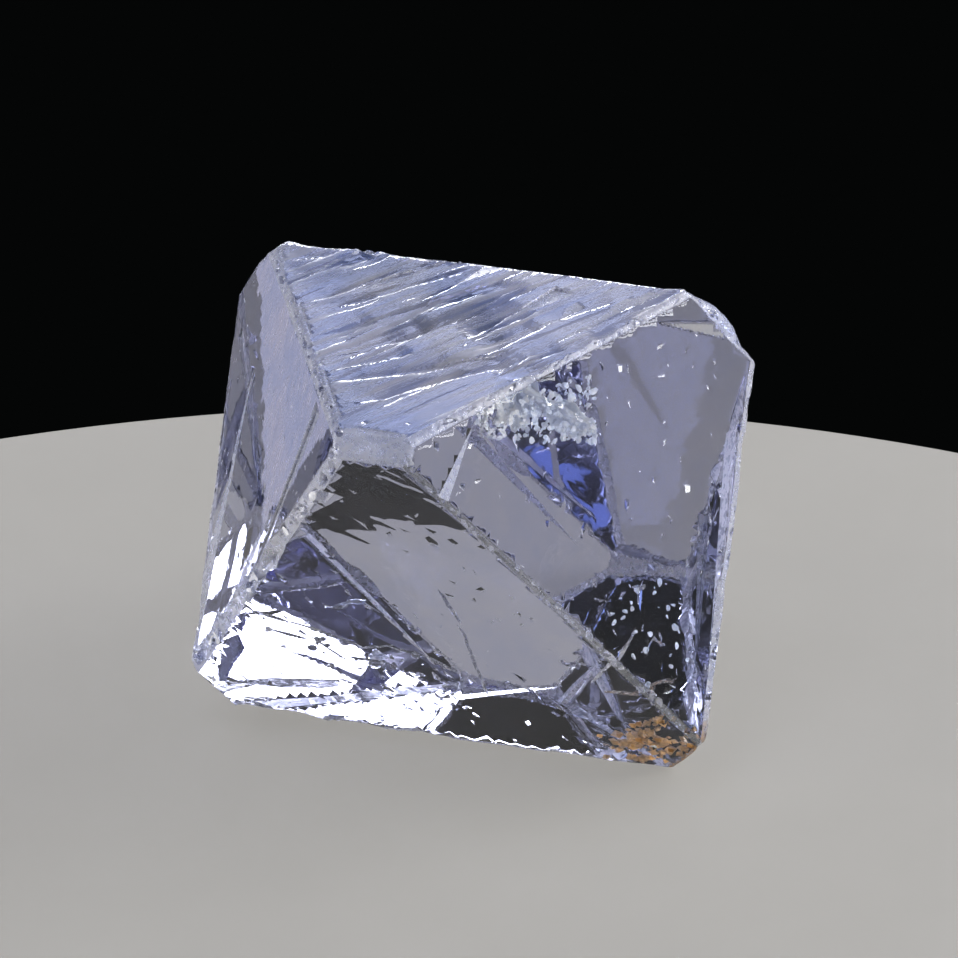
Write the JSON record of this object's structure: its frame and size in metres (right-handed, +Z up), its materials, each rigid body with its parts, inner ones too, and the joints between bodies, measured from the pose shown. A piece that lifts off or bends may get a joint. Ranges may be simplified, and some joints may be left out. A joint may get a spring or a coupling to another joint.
{
  "type": "fluorite octahedron",
  "caption": "Cleaved clear violet-blue fluorite octahedron with cleavage ledges, worn edges and broken tips, resting on one triangular face.",
  "frame": {"origin": "on the face that the crystal rests on, straight below the crystal's centre", "axes": "+Z up, out of the upper cleavage face; -Y towards the viewer, out of the lower front face; +X to the viewer's right"},
  "size_m": [0.0211, 0.0194, 0.0179],
  "materials": {
    "fluorite": "clear to slightly milky natural cleavage surface"
  },
  "bodies": {
    "root": {"fluorite_octahedron": "fluorite"}
  },
  "joints": []
}
